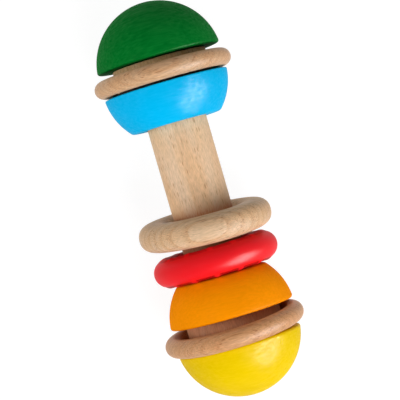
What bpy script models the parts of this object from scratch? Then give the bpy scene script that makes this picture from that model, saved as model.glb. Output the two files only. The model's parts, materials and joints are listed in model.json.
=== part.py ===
"""Wooden baby rattle: a beech handle between two sawn, painted balls, with four loose rings.

It lies on its rings along X, with the yellow end at +X, +Z up and the floor at z = 0. The middle of its
length is at x = 0. Sizes are in metres.
"""
import math

import bmesh
import bpy
from mathutils import Quaternion, Vector

MM = 0.001

# Handle
HANDLE_DIAMETER = 22.0 * MM
GRIP_LENGTH = 57.2 * MM
HANDLE_CHAMFER = 1.0 * MM

# Each end is a turned ball, sawn across into a dome and a bowl
BALL_DIAMETER = 46.0 * MM
BLUE_BOWL_CUT = 1.6 * MM
ORANGE_BOWL_CUT = 1.0 * MM
GREEN_DOME_CUT = 1.8 * MM
YELLOW_DOME_CUT = 2.6 * MM
BOWL_FOOT_WIDTH = 5.2 * MM
RIM_ROUND = 1.0 * MM
FOOT_ROUND = 2.0 * MM
SOCKET_DEPTH = 12.0 * MM
HUB_INSET = 5.6 * MM

# Thin ring trapped round each hub: its section, its free play round the hub and along it, and where it lies
GREEN_RING_SECTION = 6.4 * MM
YELLOW_RING_SECTION = 6.9 * MM
END_RING_PLAY = 1.75 * MM
GREEN_RING_FREE = 3.2 * MM
YELLOW_RING_FREE = 2.9 * MM
GREEN_RING_APART = 0.8 * MM
YELLOW_RING_TURN = math.radians(17)
YELLOW_RING_SHIFT = -0.6 * MM

# Wide beech ring on the handle
WIDE_RING_PLAY = 1.4 * MM
WIDE_RING_WIDTH = 12.2 * MM
WIDE_RING_THICKNESS = 10.4 * MM
WIDE_RING_SQUARENESS = 2.3
WIDE_RING_LEAN_TOP = math.radians(4.4)
WIDE_RING_LEAN_SIDE = math.radians(1.8)
WIDE_RING_APART = 1.1 * MM
WIDE_RING_SHIFT = -0.4 * MM

# Red teething ring on the handle
RED_RING_PLAY = 2.05 * MM
RED_RING_SECTION = 10.2 * MM
RED_RING_LEAN_TOP = math.radians(0.3)
RED_RING_LEAN_SIDE = math.radians(-0.8)
RED_RING_SHIFT = -0.15 * MM
NUB_COUNT = 14
NUB_HEIGHT = 0.4 * MM
NUB_WIDTH = 3.4 * MM
NUB_LENGTH = 5.0 * MM
NUB_INSET = 1.3 * MM
NUB_TURN = math.radians(-3)

# Clearances: a glued joint, and loose pieces at rest against each other
JOINT_GAP = 0.3 * MM
REST_GAP = 0.2 * MM

# Facets
TURN_STEPS = 40
BALL_STEPS = 9
BOWL_STEPS = 5
ROUND_STEPS = 2
RING_STEPS = 16
NUB_STEPS = 6
SHARP_EDGE = math.radians(35)
MERGE_DISTANCE = 0.001 * MM

# Sizes that follow
HANDLE_RADIUS = HANDLE_DIAMETER / 2
BORE_RADIUS = HANDLE_RADIUS + JOINT_GAP
BALL_RADIUS = BALL_DIAMETER / 2
FOOT_RADIUS = BORE_RADIUS + BOWL_FOOT_WIDTH
FOOT_REACH = math.sqrt(BALL_RADIUS**2 - FOOT_RADIUS**2)
HUB_RADIUS = BALL_RADIUS - HUB_INSET
END_RING_BORE = HUB_RADIUS + END_RING_PLAY
WIDE_RING_BORE = HANDLE_RADIUS + WIDE_RING_PLAY
RED_RING_BORE = HANDLE_RADIUS + RED_RING_PLAY
RED_RING_MIDDLE = RED_RING_BORE + RED_RING_SECTION / 2
NUB_RADIUS = RED_RING_MIDDLE - NUB_INSET
AXIS_HEIGHT = max(GREEN_RING_SECTION, YELLOW_RING_SECTION) + REST_GAP + HUB_RADIUS


class End:
    """One sawn ball: which way along X it points, and where its faces lie from the middle of the grip."""

    def __init__(self, direction, bowl_cut, dome_cut, ring_section, ring_free):
        self.direction = direction
        self.bowl_cut = bowl_cut
        self.bowl_height = FOOT_REACH - bowl_cut
        self.dome_cut = dome_cut
        self.ring_section = ring_section
        self.ring_free = ring_free
        self.gap = ring_section + ring_free
        self.foot = GRIP_LENGTH / 2
        self.rim = self.foot + self.bowl_height
        self.saw_face = self.rim + self.gap
        self.tip = self.saw_face + BALL_RADIUS - dome_cut


GREEN_END = End(-1, BLUE_BOWL_CUT, GREEN_DOME_CUT, GREEN_RING_SECTION, GREEN_RING_FREE)
YELLOW_END = End(1, ORANGE_BOWL_CUT, YELLOW_DOME_CUT, YELLOW_RING_SECTION, YELLOW_RING_FREE)
GRIP_MIDDLE = (GREEN_END.tip - YELLOW_END.tip) / 2


def along(end, distance):
    """The x of a point that lies a distance from the grip's middle towards one end."""
    return GRIP_MIDDLE + end.direction * distance


def remove_everything():
    for item in list(bpy.data.objects):
        bpy.data.objects.remove(item)


def finish(name, hex_colour, roughness):
    """A painted, waxed or moulded surface: its sRGB colour and its roughness."""
    material = bpy.data.materials.new(name)
    material.use_nodes = True
    shader = material.node_tree.nodes["Principled BSDF"]
    channels = [int(hex_colour[i:i + 2], 16) / 255 for i in (0, 2, 4)]
    linear = [c / 12.92 if c <= 0.04045 else ((c + 0.055) / 1.055)**2.4 for c in channels]
    shader.inputs["Base Color"].default_value = (*linear, 1)
    shader.inputs["Roughness"].default_value = roughness
    shader.inputs["Metallic"].default_value = 0
    return material


def arc(centre, radius, start, stop, steps):
    """Points (x, r) round a circle, with angles measured from +x towards +r."""
    angles = [start + (stop - start) * i / steps for i in range(steps + 1)]
    return [(centre[0] + radius * math.cos(a), centre[1] + radius * math.sin(a)) for a in angles]


def rounded_edge(ball_x, face_x, inward, radius):
    """The round between the ball and a flat face: its centre, and the angle where it leaves the ball."""
    x = face_x + inward * radius
    r = math.sqrt((BALL_RADIUS - radius)**2 - (x - ball_x)**2)
    return (x, r), math.atan2(r, x - ball_x)


def turned(name, outline, closed, material, steps=TURN_STEPS):
    """Turn an outline of (x, r) points about the X axis. A flat lies at the bottom of each round."""
    mesh = bpy.data.meshes.new(name)
    bm = bmesh.new()
    first = Quaternion((1, 0, 0), math.pi / steps)
    verts = [bm.verts.new(first @ Vector((x, 0, r))) for x, r in outline]
    pairs = list(zip(verts, verts[1:]))
    if closed:
        pairs.append((verts[-1], verts[0]))
    edges = [bm.edges.new(pair) for pair in pairs]
    bmesh.ops.spin(bm, geom=verts + edges, cent=(0, 0, 0), axis=(1, 0, 0), angle=2 * math.pi,
                   steps=steps, use_merge=True)
    bmesh.ops.remove_doubles(bm, verts=bm.verts, dist=MERGE_DISTANCE)
    bmesh.ops.recalc_face_normals(bm, faces=bm.faces)
    bm.to_mesh(mesh)
    bm.free()
    mesh.shade_smooth()
    mesh.set_sharp_from_angle(angle=SHARP_EDGE)
    mesh.materials.append(material)
    piece = bpy.data.objects.new(name, mesh)
    piece.rotation_mode = "QUATERNION"
    bpy.context.collection.objects.link(piece)
    return piece


def set_along(piece, x, direction):
    """Put a turned piece on the stick's axis, with its own +x pointing in a direction along X."""
    piece.location = (x, 0, AXIS_HEIGHT)
    if direction < 0:
        piece.rotation_quaternion = Quaternion((0, 0, 1), math.pi)


def handle_dowel(material):
    """The dowel: it reaches through both bowls and hubs, down to the floor of both sockets."""
    low = along(GREEN_END, GREEN_END.saw_face + SOCKET_DEPTH - JOINT_GAP)
    high = along(YELLOW_END, YELLOW_END.saw_face + SOCKET_DEPTH - JOINT_GAP)
    outline = [
        (high, 0),
        (high, HANDLE_RADIUS - HANDLE_CHAMFER),
        (high - HANDLE_CHAMFER, HANDLE_RADIUS),
        (low + HANDLE_CHAMFER, HANDLE_RADIUS),
        (low, HANDLE_RADIUS - HANDLE_CHAMFER),
        (low, 0),
    ]
    set_along(turned("handle_dowel", outline, False, material), 0, 1)


def dome(name, end, material):
    """Sawn face at x = 0, rounded rim, tip at +x, and a blind socket for the handle."""
    ball_x = -end.dome_cut
    rim, leave = rounded_edge(ball_x, 0, 1, RIM_ROUND)
    outline = arc((ball_x, 0), BALL_RADIUS, 0, leave, BALL_STEPS)
    outline += arc(rim, RIM_ROUND, leave, math.pi, ROUND_STEPS)[1:]
    outline += [(0, BORE_RADIUS), (SOCKET_DEPTH, BORE_RADIUS), (SOCKET_DEPTH, 0)]
    set_along(turned(name, outline, False, material), along(end, end.saw_face), end.direction)


def bowl(name, end, material):
    """Rim at x = 0, flat foot at +x towards the handle, bored through."""
    ball_x = -end.bowl_cut
    foot, reach = rounded_edge(ball_x, end.bowl_height, -1, FOOT_ROUND)
    rim, leave = rounded_edge(ball_x, 0, 1, RIM_ROUND)
    outline = [(end.bowl_height, BORE_RADIUS)]
    outline += arc(foot, FOOT_ROUND, 0, reach, ROUND_STEPS)
    outline += arc((ball_x, 0), BALL_RADIUS, reach, leave, BOWL_STEPS)[1:]
    outline += arc(rim, RIM_ROUND, leave, math.pi, ROUND_STEPS)[1:]
    outline += [(0, BORE_RADIUS)]
    set_along(turned(name, outline, True, material), along(end, end.rim), -end.direction)


def hub(name, end, material):
    """The collar between bowl and dome, which the thin ring hangs round."""
    low = JOINT_GAP
    high = end.gap - JOINT_GAP
    outline = [(high, BORE_RADIUS), (high, HUB_RADIUS), (low, HUB_RADIUS), (low, BORE_RADIUS)]
    set_along(turned(name, outline, True, material), along(end, end.rim), end.direction)


def ring_outline(bore, width, thickness, squareness=2.0):
    """A ring's section: an ellipse, or a squarer superellipse, round the middle of its width."""
    points = []
    for i in range(RING_STEPS):
        angle = 2 * math.pi * i / RING_STEPS
        x = math.copysign(abs(math.cos(angle))**(2 / squareness), math.cos(angle)) * thickness / 2
        r = math.copysign(abs(math.sin(angle))**(2 / squareness), math.sin(angle)) * width / 2
        points.append((x, bore + width / 2 + r))
    return points


def lean(top, side):
    """Tilt a ring so that its top, and its +Y side, lean towards +X by these angles."""
    normal = Vector((1, -math.tan(side), -math.tan(top)))
    return Vector((1, 0, 0)).rotation_difference(normal)


def lay_ring(piece, x, tilt, play, shift=0):
    """Lay a ring on the floor round the stick, as far as its play lets it, and shifted to one side."""
    piece.rotation_quaternion = tilt
    lowest = min((tilt @ vertex.co).z for vertex in piece.data.vertices)
    slack = play - REST_GAP
    offset = max(-slack, min(slack, -lowest - AXIS_HEIGHT))
    piece.location = (x, shift, AXIS_HEIGHT + offset)


def end_ring(name, end, distance, tilt, shift, material):
    """A thin round ring, trapped between a bowl and a dome."""
    outline = ring_outline(END_RING_BORE, end.ring_section, end.ring_section)
    lay_ring(turned(name, outline, True, material), along(end, distance), tilt, END_RING_PLAY, shift)


def raise_nubs(mesh):
    """Lift both faces of the red ring at each nub, in a smooth bump along the axis."""
    pitch = 2 * math.pi / NUB_COUNT
    for vertex in mesh.vertices:
        radius = math.hypot(vertex.co.y, vertex.co.z)
        turn = math.atan2(vertex.co.y, vertex.co.z) - NUB_TURN
        angle = (turn + pitch / 2) % pitch - pitch / 2
        across = 2 * abs(angle) * NUB_RADIUS / NUB_WIDTH
        inward = 2 * abs(radius - NUB_RADIUS) / NUB_LENGTH
        if across < 1 and inward < 1:
            lift = NUB_HEIGHT * math.cos(math.pi / 2 * across)**2 * math.cos(math.pi / 2 * inward)
            vertex.co.x += math.copysign(lift, vertex.co.x)


def loose_rings(beech, red):
    """The red ring rests on the orange foot. The wide beech ring leans towards it on the handle."""
    red_tilt = lean(RED_RING_LEAN_TOP, RED_RING_LEAN_SIDE)
    wide_tilt = lean(WIDE_RING_LEAN_TOP, WIDE_RING_LEAN_SIDE)
    nub_top = math.sqrt((RED_RING_SECTION / 2)**2 - NUB_INSET**2) + NUB_HEIGHT
    red_slope = NUB_RADIUS * math.sin(red_tilt.angle)
    red_x = along(YELLOW_END, YELLOW_END.foot) - REST_GAP - nub_top - red_slope
    between = NUB_RADIUS * math.sin(red_tilt.rotation_difference(wide_tilt).angle)
    wide_x = red_x - nub_top - WIDE_RING_APART - WIDE_RING_THICKNESS / 2 - between

    outline = ring_outline(RED_RING_BORE, RED_RING_SECTION, RED_RING_SECTION)
    piece = turned("red_teething_ring", outline, True, red, NUB_COUNT * NUB_STEPS)
    raise_nubs(piece.data)
    lay_ring(piece, red_x, red_tilt, RED_RING_PLAY, RED_RING_SHIFT)

    outline = ring_outline(WIDE_RING_BORE, WIDE_RING_WIDTH, WIDE_RING_THICKNESS, WIDE_RING_SQUARENESS)
    piece = turned("wide_beech_ring", outline, True, beech)
    lay_ring(piece, wide_x, wide_tilt, WIDE_RING_PLAY, WIDE_RING_SHIFT)


def drop_round_rim(end, ring_middle):
    """How far the top of a ring that stands outside the dome's rounded rim drops past the sawn face."""
    rim, _ = rounded_edge(-end.dome_cut, 0, 1, RIM_ROUND)
    reach = end.ring_section / 2 + RIM_ROUND
    outside = ring_middle + END_RING_PLAY - REST_GAP - rim[1]
    outside = max(0, min(outside, reach))
    return reach - math.sqrt(reach**2 - outside**2)


def end_rings(material):
    """The green end's ring hangs square, a little off its bowl. The yellow end's leans from bowl to dome."""
    square = GREEN_END.rim + GREEN_END.ring_section / 2 + GREEN_RING_APART
    end_ring("green_end_ring", GREEN_END, square, lean(0, 0), 0, material)
    middle = END_RING_BORE + YELLOW_END.ring_section / 2
    drop = drop_round_rim(YELLOW_END, middle)
    tilt = math.asin((YELLOW_END.ring_free - 2 * REST_GAP + drop) / (2 * middle))
    leaning = lean(tilt * math.cos(YELLOW_RING_TURN), -tilt * math.sin(YELLOW_RING_TURN))
    between = YELLOW_END.rim + (YELLOW_END.gap + drop) / 2
    end_ring("yellow_end_ring", YELLOW_END, between, leaning, YELLOW_RING_SHIFT, material)


def main():
    remove_everything()
    handle_dowel(finish("beech_dowel", "DDBC96", 0.55))
    dome("green_dome", GREEN_END, finish("green_paint", "006B24", 0.4))
    bowl("blue_bowl", GREEN_END, finish("blue_paint", "00AEEF", 0.3))
    bowl("orange_bowl", YELLOW_END, finish("orange_paint", "F09208", 0.4))
    dome("yellow_dome", YELLOW_END, finish("yellow_paint", "F2D400", 0.35))
    hub("green_end_hub", GREEN_END, finish("beech_green_end_hub", "D2AB85", 0.6))
    hub("yellow_end_hub", YELLOW_END, finish("beech_yellow_end_hub", "D2AB85", 0.6))
    end_rings(finish("beech_end_rings", "D9B08A", 0.55))
    loose_rings(finish("beech_wide_ring", "DDBC96", 0.55), finish("red_moulded_ring", "E8121F", 0.3))


main()
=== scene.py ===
"""Looks of a wooden baby rattle: a beech handle between sawn, painted balls, with loose rings round it.

The solids set the sizes and places. Each is replaced by a finer turned or moulded surface with its finish.
"""

import json
import math
from typing import NamedTuple

import bmesh
import bpy
import numpy as np
from bpy.props import FloatProperty, FloatVectorProperty, IntProperty, PointerProperty
from mathutils import Matrix, Vector


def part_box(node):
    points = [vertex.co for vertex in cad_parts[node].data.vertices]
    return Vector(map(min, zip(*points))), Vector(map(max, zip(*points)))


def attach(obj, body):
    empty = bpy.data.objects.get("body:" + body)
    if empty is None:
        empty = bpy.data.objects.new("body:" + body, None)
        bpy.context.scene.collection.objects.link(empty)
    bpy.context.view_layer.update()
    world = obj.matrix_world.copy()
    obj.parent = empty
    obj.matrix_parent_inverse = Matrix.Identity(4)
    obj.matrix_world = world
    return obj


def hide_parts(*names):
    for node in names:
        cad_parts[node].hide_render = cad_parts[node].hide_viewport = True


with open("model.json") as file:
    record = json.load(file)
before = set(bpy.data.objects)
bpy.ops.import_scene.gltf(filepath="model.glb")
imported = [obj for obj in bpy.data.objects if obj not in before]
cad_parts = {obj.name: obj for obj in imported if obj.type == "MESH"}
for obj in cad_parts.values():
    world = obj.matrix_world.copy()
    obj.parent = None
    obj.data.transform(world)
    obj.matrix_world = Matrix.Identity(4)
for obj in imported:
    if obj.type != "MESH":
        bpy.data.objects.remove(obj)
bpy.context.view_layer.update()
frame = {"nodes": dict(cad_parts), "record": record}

bl_info = {
    "name": "Rattle stick",
    "version": (1, 0, 0),
    "blender": (4, 5, 0),
    "location": "3D View > Sidebar > Rattle",
    "description": "Dresses the solids of a wooden baby rattle with turned and moulded surfaces",
    "category": "Object",
}

MM = 0.001
PER_MM = 1000

# Width of the picture in pixels, and of the camera's sensor in millimetres
IMAGE_PIXELS = 400
SENSOR_WIDTH = 36.0

# Points along and round the surfaces
ROUND_POINTS = 240
BALL_POINTS = 72
EDGE_POINTS = 12
FACE_POINTS = 10
SECTION_POINTS = 96
NUBBED_ROUND_POINTS = 560

# Axes along the stick
TOWARDS_GREEN = (-1, 0, 0)
TOWARDS_YELLOW = (1, 0, 0)

# Power of a ring's section that is an ellipse
ELLIPSE = 2

# Slow waves round a sanded ring: how many there are, where they start and their share
SANDING_WAVES = ((2, 1.0, 1.0), (3, 2.2, 0.7), (7, 0.4, 0.5))

# Shares of the red ring's half thickness where the painted shade in the slots between its nubs starts and
# where it is darkest
SLOT_START = 0.84
SLOT_FULL = 0.9

# Share of the painted shade in the slots that is kept on the side of the wide ring
SLOT_SHADE_WIDE_SIDE = 0.46
SLOT_LAYER = "slot_shade"

# Turn between two faces past which their edge stays sharp
SHARP_EDGE = math.radians(40)

# How close two points are joined, and the decimals of a metre to which two corners of a solid are the same
WELD = 0.0005 * MM
CORNER_DECIMALS = 7

# Turns that lay the grain along X, for wood cut along the stick or across it
GRAIN_ALONG = (0.0, 0.0, 0.0)
GRAIN_ACROSS = (0.0, 0.0, -math.pi / 2)


class Cut(NamedTuple):
    """How a piece lay in the tree, and how much of its figure shows.

    The place of the heart and the width of a year are in millimetres. Late wood, rays and fibres are
    strengths. The stretch draws the rays and the fibres out along the grain.
    """

    grain: tuple
    heart: tuple
    year: float
    late: float
    rays: float
    fibres: float
    stretch: float


class Polish(NamedTuple):
    """What sanding and wax leave on a wood: how strongly it shines, and how rough that shine is."""

    shine: float
    roughness: float


class PaintedShade(NamedTuple):
    """Painted shade on a wood, which deepens along the stick.

    Its start, the place where it is full and the length of its ragged streaks are in millimetres along X.
    """

    start: float
    full: float
    streaks: float
    strength: float
    tint: tuple


class Lacquer(NamedTuple):
    """A paint's finish: how far fibres streak its colour, and the gloss and roughness of the film over it."""

    streaks: float
    gloss: float
    roughness: float


DOWEL_CUT = Cut(grain=GRAIN_ALONG, heart=(0, -42.8, -31), year=14.7,
                late=0.5, rays=0.8, fibres=0.15, stretch=1.0)
HUB_CUT = Cut(grain=GRAIN_ALONG, heart=(0, 12, 20), year=2.6,
              late=0.5, rays=0.6, fibres=0.15, stretch=1.0)
END_RING_CUT = Cut(grain=GRAIN_ACROSS, heart=(0, 9, 31), year=2.2,
                   late=0.6, rays=1.0, fibres=0.2, stretch=1.8)
WIDE_RING_CUT = Cut(grain=GRAIN_ACROSS, heart=(0, 4, 26), year=2.6,
                    late=0.7, rays=1.0, fibres=0.2, stretch=1.8)

DOWEL_POLISH = Polish(shine=0.03, roughness=0.55)
HUB_POLISH = Polish(shine=0.03, roughness=0.65)
END_RING_POLISH = Polish(shine=0.18, roughness=0.45)
WIDE_RING_POLISH = Polish(shine=0.15, roughness=0.5)

# Painted shade on the dowel where the loose rings sit and between them: darker, and redder as a painted
# reflection of the red ring
RING_PAINTED_SHADE = PaintedShade(start=1.8, full=6.5, streaks=6, strength=0.75, tint=(0.45, 0.16, 0.07))

# The hub's edge beside the blue bowl is blue paint darkened to navy as painted shade, for the gap under the
# thin ring
PAINT_LINE_SHADE = PaintedShade(start=-44.8, full=-44.0, streaks=0.4, strength=0.92, tint=(0.02, 0.06, 0.2))

GREEN_LACQUER = Lacquer(streaks=0.09, gloss=0.085, roughness=0.35)
BLUE_LACQUER = Lacquer(streaks=0.02, gloss=0.13, roughness=0.28)
ORANGE_LACQUER = Lacquer(streaks=0.05, gloss=0.04, roughness=0.4)
YELLOW_LACQUER = Lacquer(streaks=0.03, gloss=0.13, roughness=0.28)

# Soft lamps: degrees of turn round the picture from its right side and of height over the floor, and watts
LAMPS = {
    "key": (-60, 50, 4.2),
    "right": (-18, 20, 3.4),
    "corner": (-45, 20, 2.0),
    "left": (180, 50, 2.4),
    "low_left": (-157, 20, 3.0),
    "behind": (90, 20, 1.1),
    "upper_right": (45, 45, 0.5),
}

# Turn and height of the card that is mirrored in the lacquer
CARD_TURN = -26
CARD_HEIGHT = 27

# How far the floor reaches, in metres
FLOOR_REACH = 6.0

BODY_OF = {node: body for body, nodes in frame["record"]["behaviour"]["bodies"].items() for node in nodes}


def linear(hex_colour):
    """An sRGB hex colour as linear red, green and blue."""
    srgb = np.array([int(hex_colour[i:i + 2], 16) / 255 for i in (1, 3, 5)])
    return tuple(float(c) for c in np.where(srgb <= 0.04045, srgb / 12.92, ((srgb + 0.055) / 1.055) ** 2.4))


def colour(name, description, hex_colour):
    """A property that holds a colour."""
    return FloatVectorProperty(name=name, description=description, subtype="COLOR", size=3, min=0, max=1,
                               default=linear(hex_colour))


def length(name, description, millimetres):
    """A property that holds a length, from millimetres."""
    return FloatProperty(name=name, description=description, unit="LENGTH", precision=5,
                         default=millimetres * MM)


def power(name, description, watts):
    """A property that holds a lamp's power."""
    return FloatProperty(name=name, description=description, unit="POWER", default=watts)


class RattleSizes(bpy.types.PropertyGroup):
    """Sizes of the surfaces that the solids leave open."""

    ball_diameter: length("Ball diameter", "Across each ball before it was sawn in two", 46.0)
    green_rim: length("Green rim", "Round of the sawn edge of the green dome", 0.8)
    yellow_rim: length("Yellow rim", "Round of the sawn edge of the yellow dome", 1.0)
    blue_rim: length("Blue rim", "Round of the sawn edge of the blue bowl", 0.4)
    orange_rim: length("Orange rim", "Round of the sawn edge of the orange bowl", 1.0)
    foot_diameter: length("Foot diameter", "Across each bowl's flat foot before its edge was rounded", 33.0)
    bowl_foot: length("Bowl foot", "Round between each bowl and its flat foot", 2.0)
    dowel_edge: length("Dowel edge", "Round at each end of the dowel", 1.0)
    hub_edge: length("Hub edge", "Round at each edge of the hubs", 0.3)
    glue_gap: length("Glue gap", "Room for glue round the dowel", 0.3)
    wide_squareness: FloatProperty(name="Wide ring squareness", default=2.3, min=2, max=4,
                                   description="Power of the wide ring's section, where 2 is an ellipse")
    sanding: FloatProperty(name="Sanding", default=0.004, min=0, max=0.05, subtype="FACTOR",
                           description="Share by which a sanded ring's section swells and thins")
    nub_count: IntProperty(name="Nub count", description="Nubs round each face of the red ring", default=14)
    nub_height: length("Nub height", "How far a nub stands out of the red ring's face", 0.4)
    nub_web: length("Nub web", "How far the red ring's face stands out between its nubs", 0.2)
    worn_web: length("Worn web", "How far the face stands out between worn nubs, beside the wide ring", 0.28)
    nub_width: length("Nub width", "Width of a nub round the red ring", 2.2)
    nub_length: length("Nub length", "Length of a nub towards the red ring's bore", 5.4)
    nub_inset: length("Nub inset", "From the middle of the red ring's section in to a nub's middle", 0.5)
    nub_turn: FloatProperty(name="Nub turn", description="Turn of the first nub from straight up",
                            subtype="ANGLE", default=math.radians(-3))


class RattleColours(bpy.types.PropertyGroup):
    """Colours of the paints, the plastic and the bare woods."""

    green: colour("Green", "Paint of the green dome", "#007026")
    blue: colour("Blue", "Paint of the blue bowl", "#00B2E9")
    orange: colour("Orange", "Paint of the orange bowl", "#FD9302")
    yellow: colour("Yellow", "Paint of the yellow dome", "#E1BE00")
    red: colour("Red", "Plastic of the teething ring", "#E8161F")
    handle: colour("Handle", "Beech of the handle", "#E4C19D")
    wide_ring: colour("Wide ring", "Beech of the wide ring", "#CFAD89")
    green_end_ring: colour("Green end ring", "Beech of the thin ring at the green end", "#C69F7A")
    yellow_end_ring: colour("Yellow end ring", "Beech of the thin ring at the yellow end", "#C3936A")
    # Painted light: the green hub is lighter and yellower, the yellow hub darker and redder, for the light at
    # each end
    green_hub: colour("Green hub", "Beech of the green end's hub", "#D2B084")
    yellow_hub: colour("Yellow hub", "Beech of the yellow end's hub", "#C6906F")
    floor: colour("Floor", "Floor that the rattle lies on", "#D0D0D0")


class RattleStage(bpy.types.PropertyGroup):
    """Where the camera and the lamps stand."""

    camera_distance: length("Camera distance", "From the camera to the stick's axis", 680.0)
    camera_lean: length("Camera lean", "How far the camera stands off towards the green end", 5.7)
    aim_along: length("Aim along", "Point aimed at, along the stick", 0.655)
    aim_across: length("Aim across", "Point aimed at, across the stick", 0.295)
    stick_turn: FloatProperty(name="Stick turn", description="Turn of the stick in the picture",
                              subtype="ANGLE", default=math.radians(16.09))
    pixel: length("Pixel", "Size that one pixel covers at the stick's axis", 0.363)
    card_power: power("Card", "Power of the card that is mirrored in the lacquer", 40.0)
    card_width: length("Card width", "Width of the card", 850.0)
    card_length: length("Card length", "Length of the card, from its low edge to its high one", 650.0)
    lamp_width: length("Lamp width", "Width of the soft lamps", 500.0)
    lamp_distance: length("Lamp distance", "From the lamps to the rattle", 900.0)
    surround: FloatProperty(name="Surround", default=0.04,
                            description="Brightness of the dim room round the lamps")
    floor_glow: FloatProperty(name="Floor glow", default=0.88,
                              description="How far the floor that is seen glows")
    floor_shade: FloatProperty(name="Floor shade", default=0.2,
                               description="How far the floor that is seen keeps its shadow")


def node_points(node):
    """The distinct corners of a solid, one row each."""
    vertices = frame["nodes"][node].data.vertices
    points = np.empty(len(vertices) * 3, np.float32)
    vertices.foreach_get("co", points)
    return np.unique(points.reshape(-1, 3).astype(float).round(CORNER_DECIMALS), axis=0)


def stick_axis():
    """Height of the stick's axis: the middle of the dowel's height."""
    low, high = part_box("handle_dowel")
    return (low.z + high.z) / 2


AXIS_HEIGHT = stick_axis()


def turned_sizes(node):
    """A solid turned about the stick's axis: its lowest and highest x, and its largest radius."""
    points = node_points(node)
    radius = np.hypot(points[:, 1], points[:, 2] - AXIS_HEIGHT).max()
    return points[:, 0].min(), points[:, 0].max(), radius


def ring_sizes(node):
    """A ring's middle, axis, bore radius, outer radius and thickness.

    Its axis is the direction in which its corners spread least, pointed towards +X.
    """
    points = node_points(node)
    middle = points.mean(0)
    axis = np.linalg.eigh(np.cov((points - middle).T))[1][:, 0]
    axis *= math.copysign(1, axis[0])
    along = (points - middle) @ axis
    radius = np.linalg.norm(points - middle - np.outer(along, axis), axis=1)
    return middle, axis, radius.min(), radius.max(), np.ptp(along)


def arc(centre, radius, start, stop, count):
    """Points (x, r) round a circle: its centre plus its radius times the cosine and sine of even angles."""
    angle = np.linspace(start, stop, count)
    return np.column_stack((centre[0] + radius * np.cos(angle), centre[1] + radius * np.sin(angle)))


def straight(start, stop, count=FACE_POINTS):
    """Even points (x, r) along a line, without its first point."""
    return np.linspace(start, stop, count)[1:]


def corner(ball_x, ball_radius, face_x, inward, edge):
    """The round that touches a ball and a flat face from inside, at the edge's radius from both.

    Gives its centre, and the angle at which it meets the ball.
    """
    x = face_x + inward * edge
    r = math.sqrt((ball_radius - edge) ** 2 - (x - ball_x) ** 2)
    return (x, r), math.atan2(r, x - ball_x)


def dome_profile(height, ball_radius, rim, bore, socket):
    """From the tip over the ball, round the rim, down the sawn face at x = 0 and into the blind socket."""
    ball_x = height - ball_radius
    middle, leave = corner(ball_x, ball_radius, face_x=0, inward=1, edge=rim)
    return np.vstack((
        arc((ball_x, 0), ball_radius, 0, leave, BALL_POINTS),
        arc(middle, rim, leave, math.pi, EDGE_POINTS)[1:],
        straight((0, middle[1]), (0, bore)),
        straight((0, bore), (socket, bore)),
        straight((socket, bore), (socket, 0)),
    ))


def bowl_profile(height, ball_radius, foot_radius, rim, foot, bore):
    """From the bore over the flat foot at x = height, up the ball, round the rim at x = 0 and back."""
    ball_x = height - math.sqrt(ball_radius ** 2 - foot_radius ** 2)
    low, reach = corner(ball_x, ball_radius, face_x=height, inward=-1, edge=foot)
    top, leave = corner(ball_x, ball_radius, face_x=0, inward=1, edge=rim)
    return np.vstack((
        straight((height, bore), (height, low[1])),
        arc(low, foot, 0, reach, EDGE_POINTS)[1:],
        arc((ball_x, 0), ball_radius, reach, leave, BALL_POINTS)[1:],
        arc(top, rim, leave, math.pi, EDGE_POINTS)[1:],
        straight((0, top[1]), (0, bore)),
        straight((0, bore), (height, bore)),
    ))


def collar_profile(height, radius, bore, edge):
    """A collar from x = 0 to its height, with both outer edges rounded."""
    return np.vstack((
        straight((height, bore), (height, radius - edge)),
        arc((height - edge, radius - edge), edge, 0, math.pi / 2, EDGE_POINTS)[1:],
        straight((height - edge, radius), (edge, radius)),
        arc((edge, radius - edge), edge, math.pi / 2, math.pi, EDGE_POINTS)[1:],
        straight((0, radius - edge), (0, bore)),
        straight((0, bore), (height, bore)),
    ))


def dowel_profile(height, radius, edge):
    """A dowel from x = 0 to its height, with both ends rounded over."""
    return np.vstack((
        [(height, 0)],
        straight((height, 0), (height, radius - edge)),
        arc((height - edge, radius - edge), edge, 0, math.pi / 2, EDGE_POINTS)[1:],
        straight((height - edge, radius), (edge, radius), BALL_POINTS),
        arc((edge, radius - edge), edge, math.pi / 2, math.pi, EDGE_POINTS)[1:],
        straight((0, radius - edge), (0, 0)),
    ))


def turn(profile, count=ROUND_POINTS):
    """Carry a profile round the X axis: x stays, and y = r sin v and z = r cos v for even angles v."""
    v = np.linspace(0, 2 * math.pi, count, endpoint=False)
    x, r = profile[:, :1], profile[:, 1:]
    return np.stack((x + 0 * v, r * np.sin(v), r * np.cos(v)), -1)


def ring_grid(bore, outer, thickness, squareness, sanding, count=ROUND_POINTS):
    """A superellipse section carried round the X axis, which swells and thins by a few slow sine waves."""
    u = np.linspace(0, 2 * math.pi, SECTION_POINTS, endpoint=False)[:, None]
    v = np.linspace(0, 2 * math.pi, count, endpoint=False)[None, :]
    waves = sum(share * np.sin(times * v + start) for times, start, share in SANDING_WAVES)
    swell = 1 + sanding * waves / sum(share for _, _, share in SANDING_WAVES)
    x = np.sign(np.cos(u)) * np.abs(np.cos(u)) ** (2 / squareness) * swell * thickness / 2
    r = np.sign(np.sin(u)) * np.abs(np.sin(u)) ** (2 / squareness) * swell * (outer - bore) / 2
    r = r + (outer + bore) / 2
    return np.stack((x, r * np.sin(v), r * np.cos(v)), -1)


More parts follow.
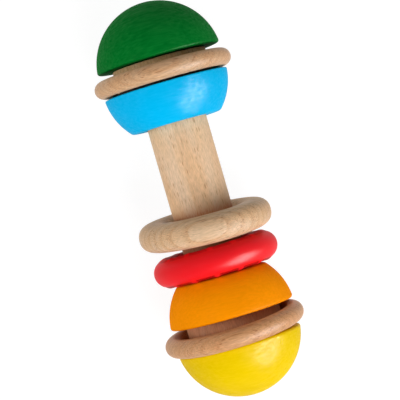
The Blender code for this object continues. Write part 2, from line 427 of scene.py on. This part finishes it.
def raise_nubs(grid, sizes, middle_radius):
    """Lift both faces of a ring by a low web, and by nubs at even angles.

    Each rise is one less the fourth power of the way along the radius. A nub's is also one less the fourth
    power of the way across it. Gives the lifted grid, and the share of painted shade at each point in the
    slots between the nubs.
    """
    radius = np.hypot(grid[..., 1], grid[..., 2])
    pitch = 2 * math.pi / sizes.nub_count
    nub_radius = middle_radius - sizes.nub_inset
    angle = np.arctan2(grid[..., 1], grid[..., 2]) - sizes.nub_turn
    angle = (angle + pitch / 2) % pitch - pitch / 2
    across = np.clip(2 * np.abs(angle) * nub_radius / sizes.nub_width, 0, 1)
    inward = np.clip(2 * np.abs(radius - nub_radius) / sizes.nub_length, 0, 1)
    nub = 1 - across ** 4
    face = 1 - inward ** 4
    # Painted shade in the slots between the nubs, on the steepest part of each face
    steep = np.abs(grid[..., 0]) / np.abs(grid[..., 0]).max()
    slot_shade = (1 - nub) * np.clip((steep - SLOT_START) / (SLOT_FULL - SLOT_START), 0, 1)
    # On the wide ring's side the nubs are worn, and the painted shade in their slots is lighter
    worn = grid[..., 0] < 0
    slot_shade *= np.where(worn, SLOT_SHADE_WIDE_SIDE, 1)
    web = np.where(worn, sizes.worn_web, sizes.nub_web)
    grid[..., 0] += np.sign(grid[..., 0]) * face * (web + (sizes.nub_height - web) * nub)
    return grid, slot_shade


def place(grid, middle, axis=TOWARDS_YELLOW):
    """Turn a grid from the X axis to another axis, and move it from the origin to a point."""
    turned = np.array(Vector(TOWARDS_YELLOW).rotation_difference(Vector(axis)).to_matrix())
    return grid @ turned.T + np.asarray(middle)


def skin(name, grid, material, node, ring, slot_shade=None):
    """Join each point of a grid to the next along it and round it with quads.

    A ring's last row joins its first. Any other grid's ends lie on the axis, where each closes to one point.
    The share of painted shade in the slots between the nubs, if there is one, is a value for each point that
    the material reads. The piece then stands for its solid and moves with it.
    """
    rows, columns = grid.shape[:2]
    index = np.arange(rows * columns).reshape(rows, columns)
    if ring:
        index = np.vstack((index, index[:1]))
    turned = np.roll(index, -1, 1)
    quads = np.stack((index[:-1], turned[:-1], turned[1:], index[1:]), -1).reshape(-1, 4)
    mesh = bpy.data.meshes.new(name)
    mesh.from_pydata(grid.reshape(-1, 3), [], quads.tolist())
    if slot_shade is not None:
        mesh.attributes.new(SLOT_LAYER, "FLOAT", "POINT").data.foreach_set("value", slot_shade.ravel())
    shaping = bmesh.new()
    shaping.from_mesh(mesh)
    bmesh.ops.remove_doubles(shaping, verts=shaping.verts, dist=WELD)
    bmesh.ops.recalc_face_normals(shaping, faces=shaping.faces)
    shaping.to_mesh(mesh)
    shaping.free()
    mesh.shade_smooth()
    mesh.set_sharp_from_angle(angle=SHARP_EDGE)
    mesh.materials.append(material)
    piece = bpy.data.objects.new(name, mesh)
    bpy.context.scene.collection.objects.link(piece)
    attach(piece, BODY_OF[node])
    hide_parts(node)


def add(tree, kind, sockets, out=0, **settings):
    """Add one node with its settings, and for each socket a constant or another output. Gives one output."""
    node = tree.nodes.new(kind)
    for name, value in settings.items():
        setattr(node, name, value)
    for key, value in sockets.items():
        if isinstance(value, bpy.types.NodeSocket):
            tree.links.new(value, node.inputs[key])
        else:
            node.inputs[key].default_value = value
    return node.outputs[out]


def new_material(name):
    """An empty node material, with its shader."""
    material = bpy.data.materials.new(name)
    material.use_nodes = True
    return material, material.node_tree, material.node_tree.nodes["Principled BSDF"]


def tint(own, shares):
    """A linear colour times a share for each channel, with alpha."""
    return (*(min(value * share, 1) for value, share in zip(own, shares)), 1)


def cells(long, wide):
    """Factors that turn millimetres to cells of a pattern, long with the grain and as wide as deep."""
    return 1 / long, 1 / wide, 1 / wide


# Sockets of a Mix of colours: its share, the colours that it goes from and to, and what it gives
SHARE = 0
FROM = 6
TO = 7
MIXED = 2

# Part of a noise's values that is spread over a pattern's whole range
STREAK_VALUES = {"From Min": 0.3, "From Max": 0.7}
DRIFT_VALUES = {"From Min": 0.35, "From Max": 0.65}

# Slow sway of the grain: the length and the width of its cells, and how far it reaches, in millimetres
SWAY_CELL = (60, 9)
SWAY_REACH = 2.4


def grain_space(tree, grain, heart):
    """Millimetres from the tree's heart, with the grain along X.

    These are the piece's own coordinates, turned to the grain and swayed a little, as trees grow.
    """
    own = add(tree, "ShaderNodeTexCoord", {}, "Object")
    still = add(tree, "ShaderNodeMapping", {"Vector": own, "Location": heart, "Rotation": grain,
                                            "Scale": (PER_MM,) * 3})
    slow = add(tree, "ShaderNodeVectorMath", {0: still, 1: cells(*SWAY_CELL)}, operation="MULTIPLY")
    sway = add(tree, "ShaderNodeTexNoise", {"Vector": slow, "Scale": 1.0, "Detail": 1.0}, "Color")
    return add(tree, "ShaderNodeVectorMath", {0: sway, 1: (0, SWAY_REACH, SWAY_REACH), 2: still},
               operation="MULTIPLY_ADD")


# Figure of beech: the length with the grain and the width across it of each kind of cell, in millimetres.
# Single fibres are too fine to show, so they are drawn as bundles.
FIBRE_CELL = (2, 0.35)
RAY_CELL = (3.4, 0.55)
DRIFT_CELL = (30, 7)

# Width of a Wave's ring at scale 1, and the share of a year after which its late wood begins
WAVE_WIDTH = 0.314
LATE_START = 0.45

# How far from the middle of its cell a ray is full and where it ends, and the share of cells without one
RAY_FULL = 0.15
RAY_END = 0.4
RAY_SPARED = 0.45

# Shares of a wood's own red, green and blue
PINKER_WOOD = (1.0, 0.94, 0.86)
YELLOWER_WOOD = (1.0, 1.03, 1.08)
LATE_WOOD = (0.88, 0.76, 0.64)
RAY_WOOD = (0.54, 0.34, 0.22)

# How far the fibres vary the roughness of the polish, and how deep sanding leaves them
POLISH_SPREAD = 0.08
SANDED_DEPTH = 0.05 * MM


def beech(name, wood, cut, polish, painted_shade=None):
    """Waxed or bare beech, turned and sanded.

    Peach tan with faint bands where the turned surface cuts the year rings, fine fibres, and the thin dark
    dashes of the wood's rays, which run with the grain. Painted shade, if there is any, deepens along the
    stick.
    """
    material, tree, shader = new_material(name)
    space = grain_space(tree, cut.grain, cut.heart)

    # Year rings round the heart
    year = add(tree, "ShaderNodeTexWave", {"Vector": space, "Scale": WAVE_WIDTH / cut.year}, "Fac",
               wave_type="RINGS", rings_direction="X", wave_profile="SAW")
    late = add(tree, "ShaderNodeMapRange", {"Value": year, "From Min": LATE_START, "To Max": cut.late},
               interpolation_type="SMOOTHSTEP")

    fibre_cell = cells(FIBRE_CELL[0] * cut.stretch, FIBRE_CELL[1])
    drawn = add(tree, "ShaderNodeVectorMath", {0: space, 1: fibre_cell}, operation="MULTIPLY")
    fibre = add(tree, "ShaderNodeTexNoise", {"Vector": drawn, "Scale": 1.0, "Detail": 2.0,
                                             "Roughness": 0.6}, "Fac")

    # Rays, each a dash of its own depth
    ray_cell = cells(RAY_CELL[0] * cut.stretch, RAY_CELL[1])
    celled = add(tree, "ShaderNodeVectorMath", {0: space, 1: ray_cell}, operation="MULTIPLY")
    rays = add(tree, "ShaderNodeTexVoronoi", {"Vector": celled, "Scale": 1.0}).node
    dash = add(tree, "ShaderNodeMapRange", {"Value": rays.outputs["Distance"], "From Min": RAY_FULL,
                                            "From Max": RAY_END, "To Min": 1.0, "To Max": 0.0},
               interpolation_type="SMOOTHSTEP")
    chance = add(tree, "ShaderNodeSeparateColor", {"Color": rays.outputs["Color"]}, "Red")
    depth = add(tree, "ShaderNodeMapRange", {"Value": chance, "From Min": RAY_SPARED, "To Max": cut.rays})
    fleck = add(tree, "ShaderNodeMath", {0: dash, 1: depth}, operation="MULTIPLY")

    # Slow drift from a pinker to a yellower tan
    slow = add(tree, "ShaderNodeVectorMath", {0: space, 1: cells(*DRIFT_CELL)}, operation="MULTIPLY")
    drift = add(tree, "ShaderNodeTexNoise", {"Vector": slow, "Scale": 1.0, "Detail": 1.0}, "Fac")
    yellower = add(tree, "ShaderNodeMapRange", {"Value": drift, **DRIFT_VALUES})

    ground = add(tree, "ShaderNodeMix", {SHARE: yellower, FROM: tint(wood, PINKER_WOOD),
                                         TO: tint(wood, YELLOWER_WOOD)}, MIXED, data_type="RGBA")
    banded = add(tree, "ShaderNodeMix", {SHARE: late, FROM: ground, TO: tint(wood, LATE_WOOD)}, MIXED,
                 data_type="RGBA")
    light = add(tree, "ShaderNodeMapRange", {"Value": fibre, **STREAK_VALUES, "To Min": 1 - cut.fibres,
                                             "To Max": 1 + cut.fibres})
    lit = add(tree, "ShaderNodeVectorMath", {0: banded, "Scale": light}, operation="SCALE")
    shown = add(tree, "ShaderNodeMix", {SHARE: fleck, FROM: lit, TO: tint(wood, RAY_WOOD)}, MIXED,
                data_type="RGBA")
    # Painted shade, which deepens along the stick
    if painted_shade:
        own = add(tree, "ShaderNodeTexCoord", {}, "Object")
        along = add(tree, "ShaderNodeSeparateXYZ", {"Vector": own}, "X")
        ragged = add(tree, "ShaderNodeMath", {0: fibre, 1: painted_shade.streaks * MM, 2: along},
                     operation="MULTIPLY_ADD")
        start = (painted_shade.start + painted_shade.streaks / 2) * MM
        full = (painted_shade.full + painted_shade.streaks / 2) * MM
        share = add(tree, "ShaderNodeMapRange", {"Value": ragged, "From Min": start, "From Max": full,
                                                 "To Max": painted_shade.strength}, interpolation_type="SMOOTHSTEP")
        shown = add(tree, "ShaderNodeMix", {SHARE: share, FROM: shown, TO: tint(wood, painted_shade.tint)}, MIXED,
                    data_type="RGBA")
    tree.links.new(shown, shader.inputs["Base Color"])

    rough = add(tree, "ShaderNodeMapRange", {"Value": fibre, "To Min": polish.roughness - POLISH_SPREAD,
                                             "To Max": polish.roughness + POLISH_SPREAD})
    tree.links.new(rough, shader.inputs["Roughness"])
    height = add(tree, "ShaderNodeMath", {0: fibre, 1: fleck}, operation="SUBTRACT")
    bump = add(tree, "ShaderNodeBump", {"Height": height, "Strength": 0.3, "Distance": SANDED_DEPTH})
    tree.links.new(bump, shader.inputs["Normal"])
    shader.inputs["IOR"].default_value = 1.45
    shader.inputs["Specular IOR Level"].default_value = polish.shine
    return material


# Bundles of fibres under the paint, about twice as wide as on bare wood so that they show through it, the
# width of the clouds in its film, and the place of the tree's heart, in millimetres
PAINTED_FIBRE_CELL = (5, 0.8)
CLOUD_WIDTH = 9
PAINTED_HEART = (0, 0, 60)

# Shares of a paint's own colour where it lies thin and where it lies thick
THIN_PAINT = (0.94, 0.94, 0.94)
THICK_PAINT = (1.05, 1.05, 1.05)

# Roughness of the matt paint from the lowest to the highest fibre, and the share of the gloss that each has
MATT_LOW = 0.55
MATT_HIGH = 0.7
GLOSS_LOW = 0.1
GLOSS_HIGH = 2.0

# How deep the fibres lie in the paint, and in the lacquer over it
PAINT_DEPTH = 0.05 * MM
LACQUER_DEPTH = 0.1 * MM


def painted_beech(name, paint, lacquer):
    """Matt water paint over turned beech, with its grain across the stick, under a thin satin lacquer.

    Full, even colour. The raised fibres of the wood show through the lacquer, mostly in the highlights.
    """
    material, tree, shader = new_material(name)
    space = grain_space(tree, GRAIN_ACROSS, PAINTED_HEART)
    drawn = add(tree, "ShaderNodeVectorMath", {0: space, 1: cells(*PAINTED_FIBRE_CELL)}, operation="MULTIPLY")
    fibre = add(tree, "ShaderNodeTexNoise", {"Vector": drawn, "Scale": 1.0, "Detail": 3.0,
                                             "Roughness": 0.55}, "Fac")

    cloud = add(tree, "ShaderNodeTexNoise", {"Vector": space, "Scale": 1 / CLOUD_WIDTH, "Detail": 2.0}, "Fac")
    film = add(tree, "ShaderNodeMix", {SHARE: cloud, FROM: tint(paint, THIN_PAINT),
                                       TO: tint(paint, THICK_PAINT)}, MIXED, data_type="RGBA")
    light = add(tree, "ShaderNodeMapRange", {"Value": fibre, **STREAK_VALUES, "To Min": 1 - lacquer.streaks,
                                             "To Max": 1 + lacquer.streaks})
    lit = add(tree, "ShaderNodeVectorMath", {0: film, "Scale": light}, operation="SCALE")
    tree.links.new(lit, shader.inputs["Base Color"])

    matt = add(tree, "ShaderNodeMapRange", {"Value": fibre, "To Min": MATT_LOW, "To Max": MATT_HIGH})
    tree.links.new(matt, shader.inputs["Roughness"])
    relief = add(tree, "ShaderNodeBump", {"Height": fibre, "Strength": 0.1, "Distance": PAINT_DEPTH})
    tree.links.new(relief, shader.inputs["Normal"])
    shader.inputs["Specular IOR Level"].default_value = 0.0

    # All the gloss is the lacquer's
    shine = add(tree, "ShaderNodeBump", {"Height": fibre, "Strength": 1.0, "Distance": LACQUER_DEPTH})
    tree.links.new(shine, shader.inputs["Coat Normal"])
    gloss = add(tree, "ShaderNodeMapRange", {"Value": fibre, **STREAK_VALUES,
                                             "To Min": GLOSS_LOW * lacquer.gloss,
                                             "To Max": GLOSS_HIGH * lacquer.gloss})
    tree.links.new(gloss, shader.inputs["Coat Weight"])
    shader.inputs["Coat Roughness"].default_value = lacquer.roughness
    shader.inputs["Coat IOR"].default_value = 1.5
    return material


# Flow of the dye and orange-peel of the mould: how wide they are, in millimetres, and how deep the peel is
FLOW_WIDTH = 12
PEEL_WIDTH = 0.7
PEEL_DEPTH = 0.02 * MM

# Shares of the dye's own red, green and blue, from its poorest to its richest flow, and of the painted shade
# in the slots
POOR_DYE = (0.93, 0.8, 0.8)
RICH_DYE = (1.05, 1.2, 1.2)
SLOT_PAINTED_SHADE = (0.42, 0.1, 0.1)

# Roughness of the satin mould, from the poorest to the richest flow
SATIN_LOW = 0.3
SATIN_HIGH = 0.4

# How far light spreads in the plastic
GLOW_DEPTH = 2.5 * MM


def moulded_plastic(name, dye):
    """Soft plastic from a satin mould: even red, with a very fine orange-peel that softens its highlights.

    The slots between the nubs are painted a deep red as painted shade.
    """
    material, tree, shader = new_material(name)
    own = add(tree, "ShaderNodeTexCoord", {}, "Object")
    flow = add(tree, "ShaderNodeTexNoise", {"Vector": own, "Scale": PER_MM / FLOW_WIDTH,
                                            "Detail": 2.0}, "Fac")
    dyed = add(tree, "ShaderNodeMix", {SHARE: flow, FROM: tint(dye, POOR_DYE), TO: tint(dye, RICH_DYE)},
               MIXED, data_type="RGBA")
    # Painted shade in the slots between the nubs
    slot_shade = add(tree, "ShaderNodeAttribute", {}, "Fac", attribute_name=SLOT_LAYER)
    deep = add(tree, "ShaderNodeMix", {SHARE: slot_shade, FROM: dyed, TO: tint(dye, SLOT_PAINTED_SHADE)}, MIXED,
               data_type="RGBA")
    tree.links.new(deep, shader.inputs["Base Color"])

    peel = add(tree, "ShaderNodeTexNoise", {"Vector": own, "Scale": PER_MM / PEEL_WIDTH,
                                            "Detail": 1.0}, "Fac")
    satin = add(tree, "ShaderNodeMapRange", {"Value": flow, "To Min": SATIN_LOW, "To Max": SATIN_HIGH})
    tree.links.new(satin, shader.inputs["Roughness"])
    bump = add(tree, "ShaderNodeBump", {"Height": peel, "Strength": 0.15, "Distance": PEEL_DEPTH})
    tree.links.new(bump, shader.inputs["Normal"])
    shader.inputs["Subsurface Weight"].default_value = 0.4
    shader.inputs["Subsurface Radius"].default_value = (1.0, 0.3, 0.2)
    shader.inputs["Subsurface Scale"].default_value = GLOW_DEPTH

    # All the gloss is the skin's
    shader.inputs["Specular IOR Level"].default_value = 0.0
    shader.inputs["Coat Weight"].default_value = 0.32
    shader.inputs["Coat Roughness"].default_value = 0.33
    shader.inputs["Coat IOR"].default_value = 1.46
    return material


class RATTLE_OT_handle(bpy.types.Operator):
    """Turn the beech dowel that runs the length of the rattle"""

    bl_idname = "rattle.handle"
    bl_label = "Handle"

    def execute(self, context):
        sizes, colours = context.scene.rattle_sizes, context.scene.rattle_colours
        low, high, radius = turned_sizes("handle_dowel")
        grid = turn(dowel_profile(high - low, radius, sizes.dowel_edge))
        wood = beech("waxed_beech_dowel", colours.handle, DOWEL_CUT, DOWEL_POLISH, RING_PAINTED_SHADE)
        skin("beech_handle", place(grid, (low, 0, AXIS_HEIGHT)), wood, "handle_dowel", ring=False)
        return {"FINISHED"}


class RATTLE_OT_hubs(bpy.types.Operator):
    """Turn the bare collars that hold each dome off its bowl"""

    bl_idname = "rattle.hubs"
    bl_label = "Hubs"

    def execute(self, context):
        sizes, colours = context.scene.rattle_sizes, context.scene.rattle_colours
        bore = turned_sizes("handle_dowel")[2] + sizes.glue_gap
        hubs = (("green_end_collar", "green_end_hub", colours.green_hub, PAINT_LINE_SHADE),
                ("yellow_end_collar", "yellow_end_hub", colours.yellow_hub, None))
        for name, node, shade, painted_shade in hubs:
            wood = beech(f"bare_beech_{name}", shade, HUB_CUT, HUB_POLISH, painted_shade)
            low, high, radius = turned_sizes(node)
            grid = turn(collar_profile(high - low, radius, bore, sizes.hub_edge))
            skin(name, place(grid, (low, 0, AXIS_HEIGHT)), wood, node, ring=True)
        return {"FINISHED"}


class RATTLE_OT_domes(bpy.types.Operator):
    """Turn the painted domes at the ends"""

    bl_idname = "rattle.domes"
    bl_label = "Domes"

    def execute(self, context):
        sizes, colours = context.scene.rattle_sizes, context.scene.rattle_colours
        dowel_low, dowel_high, dowel_radius = turned_sizes("handle_dowel")
        bore = dowel_radius + sizes.glue_gap
        ball = sizes.ball_diameter / 2
        green = painted_beech("green_painted_beech", colours.green, GREEN_LACQUER)
        low, high, _ = turned_sizes("green_dome")
        socket = high - dowel_low + sizes.glue_gap
        grid = turn(dome_profile(high - low, ball, sizes.green_rim, bore, socket))
        grid = place(grid, (high, 0, AXIS_HEIGHT), TOWARDS_GREEN)
        skin("green_half_ball", grid, green, "green_dome", ring=False)

        yellow = painted_beech("yellow_painted_beech", colours.yellow, YELLOW_LACQUER)
        low, high, _ = turned_sizes("yellow_dome")
        socket = dowel_high - low + sizes.glue_gap
        grid = turn(dome_profile(high - low, ball, sizes.yellow_rim, bore, socket))
        grid = place(grid, (low, 0, AXIS_HEIGHT))
        skin("yellow_half_ball", grid, yellow, "yellow_dome", ring=False)
        return {"FINISHED"}


class RATTLE_OT_bowls(bpy.types.Operator):
    """Turn the painted bowls on either side of the grip"""

    bl_idname = "rattle.bowls"
    bl_label = "Bowls"

    def execute(self, context):
        sizes, colours = context.scene.rattle_sizes, context.scene.rattle_colours
        bore = turned_sizes("handle_dowel")[2] + sizes.glue_gap
        ball = sizes.ball_diameter / 2
        foot_radius = sizes.foot_diameter / 2
        blue = painted_beech("blue_painted_beech", colours.blue, BLUE_LACQUER)
        low, high, _ = turned_sizes("blue_bowl")
        profile = bowl_profile(high - low, ball, foot_radius, sizes.blue_rim, sizes.bowl_foot, bore)
        grid = place(turn(profile), (low, 0, AXIS_HEIGHT))
        skin("blue_cup", grid, blue, "blue_bowl", ring=True)

        orange = painted_beech("orange_painted_beech", colours.orange, ORANGE_LACQUER)
        low, high, _ = turned_sizes("orange_bowl")
        profile = bowl_profile(high - low, ball, foot_radius, sizes.orange_rim, sizes.bowl_foot, bore)
        grid = place(turn(profile), (high, 0, AXIS_HEIGHT), TOWARDS_GREEN)
        skin("orange_cup", grid, orange, "orange_bowl", ring=True)
        return {"FINISHED"}


class RATTLE_OT_end_rings(bpy.types.Operator):
    """Turn the thin beech rings that rattle between the domes and the bowls"""

    bl_idname = "rattle.end_rings"
    bl_label = "End rings"

    def execute(self, context):
        sizes, colours = context.scene.rattle_sizes, context.scene.rattle_colours
        rings = (("green_end_thin_ring", "green_end_ring", colours.green_end_ring),
                 ("yellow_end_thin_ring", "yellow_end_ring", colours.yellow_end_ring))
        for name, node, shade in rings:
            wood = beech(f"waxed_beech_{name}", shade, END_RING_CUT, END_RING_POLISH)
            middle, axis, bore, outer, thickness = ring_sizes(node)
            grid = ring_grid(bore, outer, thickness, ELLIPSE, sizes.sanding)
            skin(name, place(grid, middle, axis), wood, node, ring=True)
        return {"FINISHED"}


class RATTLE_OT_wide_ring(bpy.types.Operator):
    """Turn the wide beech ring that slides on the handle"""

    bl_idname = "rattle.wide_ring"
    bl_label = "Wide ring"

    def execute(self, context):
        sizes, colours = context.scene.rattle_sizes, context.scene.rattle_colours
        wood = beech("waxed_beech_wide_ring", colours.wide_ring, WIDE_RING_CUT, WIDE_RING_POLISH)
        middle, axis, bore, outer, thickness = ring_sizes("wide_beech_ring")
        grid = ring_grid(bore, outer, thickness, sizes.wide_squareness, sizes.sanding)
        skin("beech_wide_ring", place(grid, middle, axis), wood, "wide_beech_ring", ring=True)
        return {"FINISHED"}


class RATTLE_OT_red_ring(bpy.types.Operator):
    """Mould the red teething ring with nubs round both faces"""

    bl_idname = "rattle.red_ring"
    bl_label = "Red ring"

    def execute(self, context):
        sizes, colours = context.scene.rattle_sizes, context.scene.rattle_colours
        plastic = moulded_plastic("red_moulded_plastic", colours.red)
        middle, axis, bore, outer, _ = ring_sizes("red_teething_ring")
        grid = ring_grid(bore, outer, outer - bore, ELLIPSE, sanding=0, count=NUBBED_ROUND_POINTS)
        grid, slot_shade = raise_nubs(grid, sizes, (bore + outer) / 2)
        grid = place(grid, middle, axis)
        skin("red_nubbed_ring", grid, plastic, "red_teething_ring", ring=True, slot_shade=slot_shade)
        return {"FINISHED"}


def seen(tree):
    """1 for what the camera sees straight, in a gloss or through glass, and 0 for light on the object."""
    path = add(tree, "ShaderNodeLightPath", {}).node
    gloss = add(tree, "ShaderNodeMath", {0: path.outputs["Is Glossy Ray"],
                                         1: path.outputs["Is Transmission Ray"]}, operation="MAXIMUM")
    return add(tree, "ShaderNodeMath", {0: path.outputs["Is Camera Ray"], 1: gloss}, operation="MAXIMUM")


def floor_paint(pale, stage):
    """Matt pale board. What is seen of it glows towards white, and keeps a faint shadow."""
    material, tree, shader = new_material("matt_pale_board")
    tree.nodes.remove(shader)
    board = add(tree, "ShaderNodeBsdfDiffuse", {"Color": (*pale, 1)})
    faint = add(tree, "ShaderNodeBsdfDiffuse", {"Color": (stage.floor_shade,) * 3 + (1,)})
    glow = add(tree, "ShaderNodeEmission", {"Color": (1, 1, 1, 1), "Strength": stage.floor_glow})
    bright = add(tree, "ShaderNodeAddShader", {0: faint, 1: glow})
    mixed = add(tree, "ShaderNodeMixShader", {0: seen(tree), 1: board, 2: bright})
    tree.links.new(mixed, tree.nodes["Material Output"].inputs["Surface"])
    return material


def surround(brightness):
    """A room that is white where it is seen, and lights the rattle only dimly."""
    world = bpy.data.worlds.new("pale_room")
    world.use_nodes = True
    tree = world.node_tree
    room = tree.nodes["Background"]
    strength = add(tree, "ShaderNodeMapRange", {"Value": seen(tree), "To Min": brightness, "To Max": 1.0})
    tree.links.new(strength, room.inputs["Strength"])
    room.inputs["Color"].default_value = (1, 1, 1, 1)
    bpy.context.scene.world = world


def lamp_direction(turn_degrees, height_degrees):
    """Which way a lamp lies, as seen in the picture: to the right, up, and towards the viewer."""
    turned, height = math.radians(turn_degrees), math.radians(height_degrees)
    level = math.cos(height)
    return Vector((level * math.cos(turned), level * math.sin(turned), math.sin(height)))


def lamp(name, watts, size, direction, distance, mirrored):
    """A soft box that faces the rattle. It is either mirrored in gloss, or lights the colours alone."""
    data = bpy.data.lights.new(name, "AREA")
    data.shape = "RECTANGLE"
    data.size, data.size_y = size
    data.energy = watts
    box = bpy.data.objects.new(name, data)
    box.visible_camera = False
    box.visible_glossy = mirrored
    box.visible_diffuse = not mirrored
    towards = direction.normalized()
    box.location = Vector((0, 0, AXIS_HEIGHT)) + towards * distance
    box.rotation_mode = "QUATERNION"
    box.rotation_quaternion = towards.to_track_quat("Z", "Y")
    bpy.context.scene.collection.objects.link(box)


class RATTLE_OT_stage(bpy.types.Operator):
    """Lay the floor, hang the lamps and set the camera"""

    bl_idname = "rattle.stage"
    bl_label = "Stage"

    def execute(self, context):
        scene, stage = context.scene, context.scene.rattle_stage
        far = FLOOR_REACH
        corners = [(-far, -far, 0), (far, -far, 0), (far, far, 0), (-far, far, 0)]
        board = bpy.data.meshes.new("floor")
        board.from_pydata(corners, [], [(0, 1, 2, 3)])
        board.materials.append(floor_paint(scene.rattle_colours.floor, stage))
        floor = bpy.data.objects.new("floor", board)
        scene.collection.objects.link(floor)

        up = Vector((-math.cos(stage.stick_turn), math.sin(stage.stick_turn), 0))
        right = Vector((0, 0, -1)).cross(up)
        picture = Matrix((right, up, (0, 0, 1))).transposed()
        for name, (turned, height, watts) in LAMPS.items():
            direction = picture @ lamp_direction(turned, height)
            size = (stage.lamp_width, stage.lamp_width)
            lamp(name, watts, size, direction, stage.lamp_distance, mirrored=False)
        direction = picture @ lamp_direction(CARD_TURN, CARD_HEIGHT)
        size = (stage.card_width, stage.card_length)
        lamp("card", stage.card_power, size, direction, stage.lamp_distance, mirrored=True)
        surround(stage.surround)

        camera = bpy.data.objects.new("camera", bpy.data.cameras.new("camera"))
        eye = Vector((-stage.camera_lean, stage.aim_across, AXIS_HEIGHT + stage.camera_distance))
        aim = Vector((stage.aim_along, stage.aim_across, AXIS_HEIGHT))
        back = (eye - aim).normalized()
        side = up.cross(back).normalized()
        turned = Matrix((side, back.cross(side), back)).transposed()
        camera.matrix_world = Matrix.Translation(eye) @ turned.to_4x4()
        camera.data.sensor_width = SENSOR_WIDTH
        camera.data.lens = SENSOR_WIDTH * stage.camera_distance / (IMAGE_PIXELS * stage.pixel)
        scene.collection.objects.link(camera)
        scene.camera = camera
        scene.view_settings.view_transform = "Standard"
        return {"FINISHED"}


class RATTLE_PT_panel(bpy.types.Panel):
    """Buttons for each group of pieces, and the sizes and colours that they use"""

    bl_idname = "RATTLE_PT_panel"
    bl_label = "Rattle"
    bl_space_type = "VIEW_3D"
    bl_region_type = "UI"
    bl_category = "Rattle"

    def draw(self, context):
        for operator in OPERATORS:
            self.layout.operator(operator.bl_idname)
        for group in (context.scene.rattle_sizes, context.scene.rattle_colours, context.scene.rattle_stage):
            for name in group.__annotations__:
                self.layout.prop(group, name)


GROUPS = {"rattle_sizes": RattleSizes, "rattle_colours": RattleColours, "rattle_stage": RattleStage}
OPERATORS = (RATTLE_OT_handle, RATTLE_OT_hubs, RATTLE_OT_domes, RATTLE_OT_bowls, RATTLE_OT_end_rings,
             RATTLE_OT_wide_ring, RATTLE_OT_red_ring, RATTLE_OT_stage)


def register():
    """Add the classes to Blender, and the groups of values to its scenes."""
    for item in (*GROUPS.values(), *OPERATORS, RATTLE_PT_panel):
        bpy.utils.register_class(item)
    for name, group in GROUPS.items():
        setattr(bpy.types.Scene, name, PointerProperty(type=group))


def unregister():
    """Take out what register added."""
    for name in GROUPS:
        delattr(bpy.types.Scene, name)
    for item in reversed((*GROUPS.values(), *OPERATORS, RATTLE_PT_panel)):
        bpy.utils.unregister_class(item)


def main():
    """Build the rattle and its stage."""
    register()
    bpy.ops.rattle.handle()
    bpy.ops.rattle.hubs()
    bpy.ops.rattle.domes()
    bpy.ops.rattle.bowls()
    bpy.ops.rattle.end_rings()
    bpy.ops.rattle.wide_ring()
    bpy.ops.rattle.red_ring()
    bpy.ops.rattle.stage()


if __name__ == "__main__":
    main()
